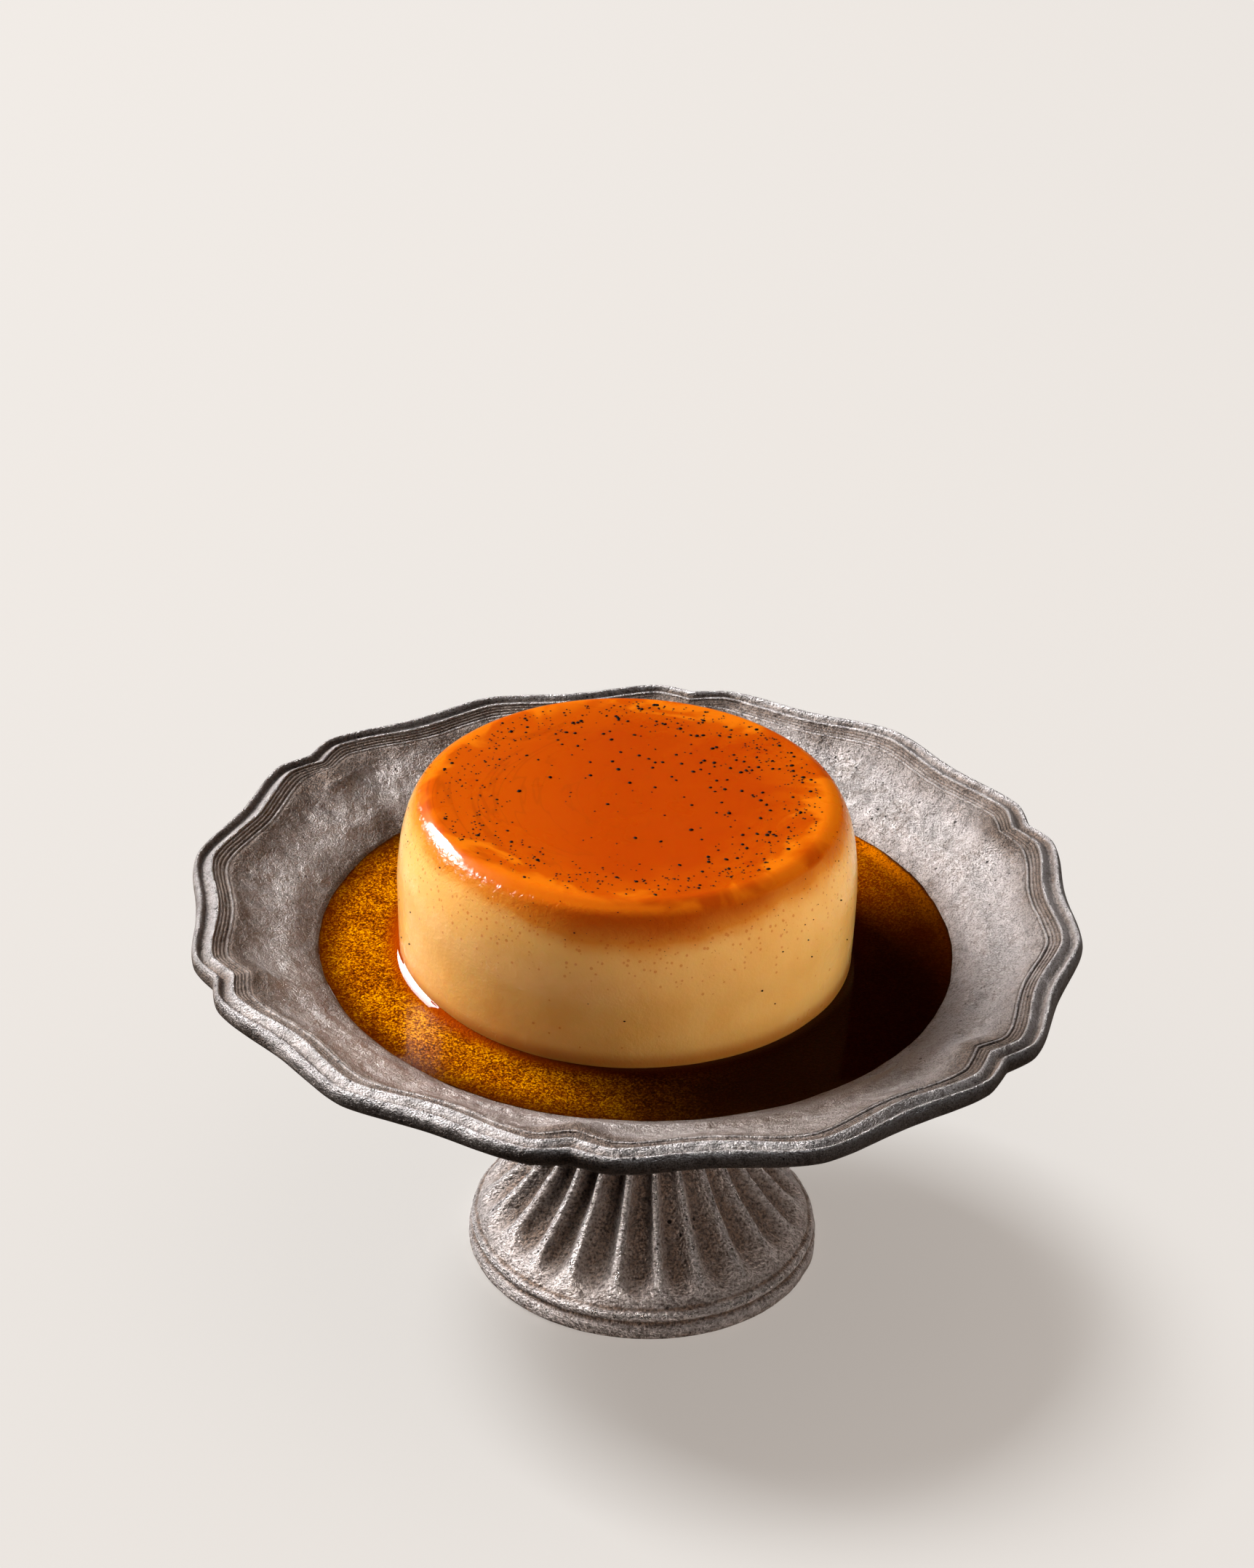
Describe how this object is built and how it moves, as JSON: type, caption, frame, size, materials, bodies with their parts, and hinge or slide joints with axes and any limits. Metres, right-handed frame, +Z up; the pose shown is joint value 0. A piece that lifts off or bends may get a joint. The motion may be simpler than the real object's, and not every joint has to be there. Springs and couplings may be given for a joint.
{
  "type": "caramel pudding in a footed dish",
  "caption": "Turned-out caramel pudding with a caramel-soaked top, in a pool of caramel sauce in a lobed, fluted-foot metal dish.",
  "frame": {"origin": "on the table, under the middle of the whole object's box", "axes": "+Z up; +Y away from the front of the dish, where a corner of the rim's outline lies a little to the right of the middle; +X to the right of the front"},
  "size_m": [0.1618, 0.1638, 0.0968],
  "materials": {
    "pewter_bowl": "worn pewter, softly polished, brown tarnish in the reeds and creases",
    "pewter_foot": "cast pewter, coarse and pitted, dark in the flutes, bright on the ridges",
    "caramel_sauce": "wet, glossy, clear amber caramel",
    "custard": "moist, smooth set custard with a soft sheen",
    "caramel_soaked_custard": "wet, glossy, burnt-orange custard soaked with caramel"
  },
  "bodies": {
    "root": {"dish_bowl": "pewter_bowl", "dish_foot": "pewter_foot", "caramel_sauce": "caramel_sauce", "custard": "custard", "caramel_top": "caramel_soaked_custard"}
  },
  "joints": []
}
